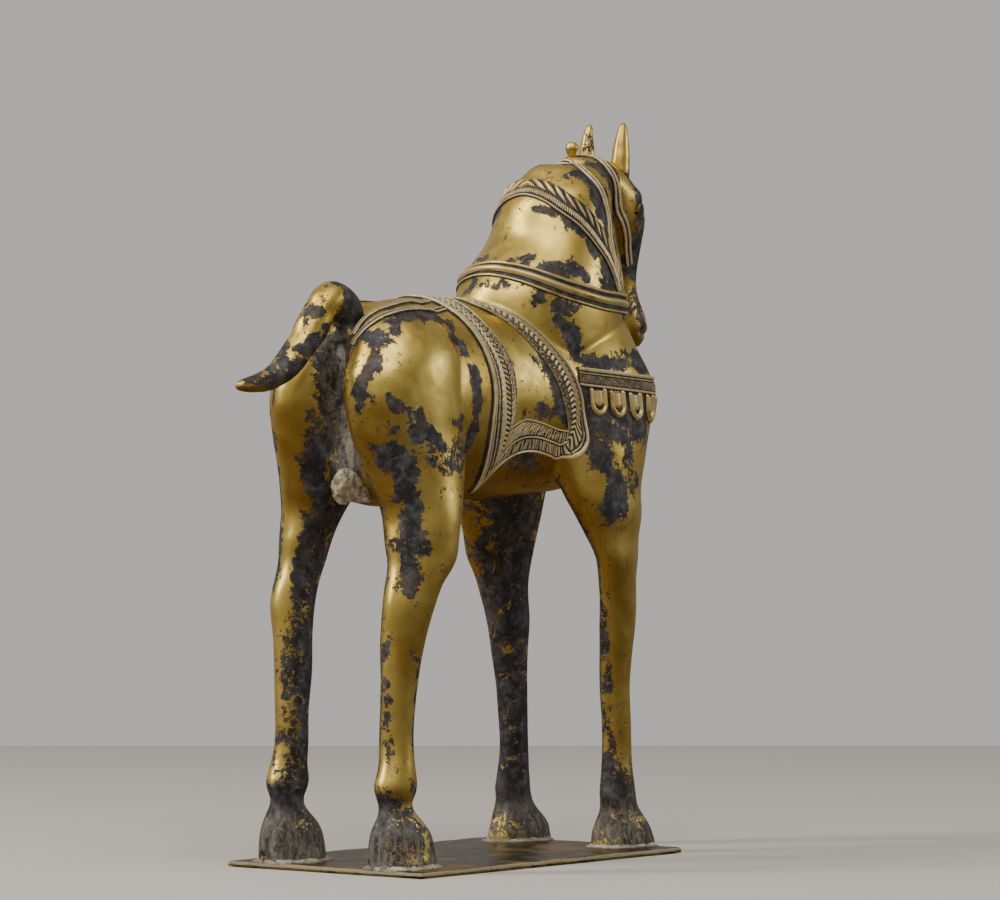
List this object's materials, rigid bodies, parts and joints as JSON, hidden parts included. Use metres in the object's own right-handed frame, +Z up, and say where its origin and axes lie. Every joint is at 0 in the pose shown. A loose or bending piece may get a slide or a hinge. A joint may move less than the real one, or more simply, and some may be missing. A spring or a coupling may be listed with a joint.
{
  "type": "brass horse statue",
  "caption": "Standing cast brass horse with worn black patina, relief saddle cloth, neck collar and breast strap, curled-out tail, brazed by its hooves to a thin sheet plate.",
  "frame": {"origin": "centre of the sheet plate's underside", "axes": "+X the way the horse faces, +Y the horse's left, +Z up"},
  "size_m": [0.3179, 0.124, 0.3735],
  "materials": {
    "cast_skin": "worn polished brass under flaking black patina",
    "ornament": "dark relief brass with pale rubbed ridges",
    "braze": "dull pale filler and braze",
    "plate": "dark hammered sheet with rubbed edges"
  },
  "bodies": {
    "root": {"base_plate": "plate", "hoof_braze": "braze", "torso": "cast_skin", "neck": "cast_skin", "head": "cast_skin", "hindleg_left": "cast_skin", "hindleg_right": "cast_skin", "foreleg_left": "cast_skin", "foreleg_right": "cast_skin", "tail": "cast_skin", "ear_left": "cast_skin", "ear_right": "cast_skin", "crest_knob": "cast_skin", "eye_left": "ornament", "eye_right": "ornament", "groin_boss": "braze", "neck_collar": "ornament", "mane_rope": "ornament", "mane_leaves": "ornament", "headstall": "ornament", "cheek_strap": "ornament", "cloth_front_border": "ornament", "cloth_rear_border": "ornament", "cloth_hem_left": "ornament", "cloth_hem_right": "ornament", "cloth_panel_left": "cast_skin", "cloth_panel_right": "cast_skin", "breast_strap": "ornament", "breast_pendants": "ornament", "crupper_left": "ornament", "crupper_right": "ornament"}
  },
  "joints": []
}
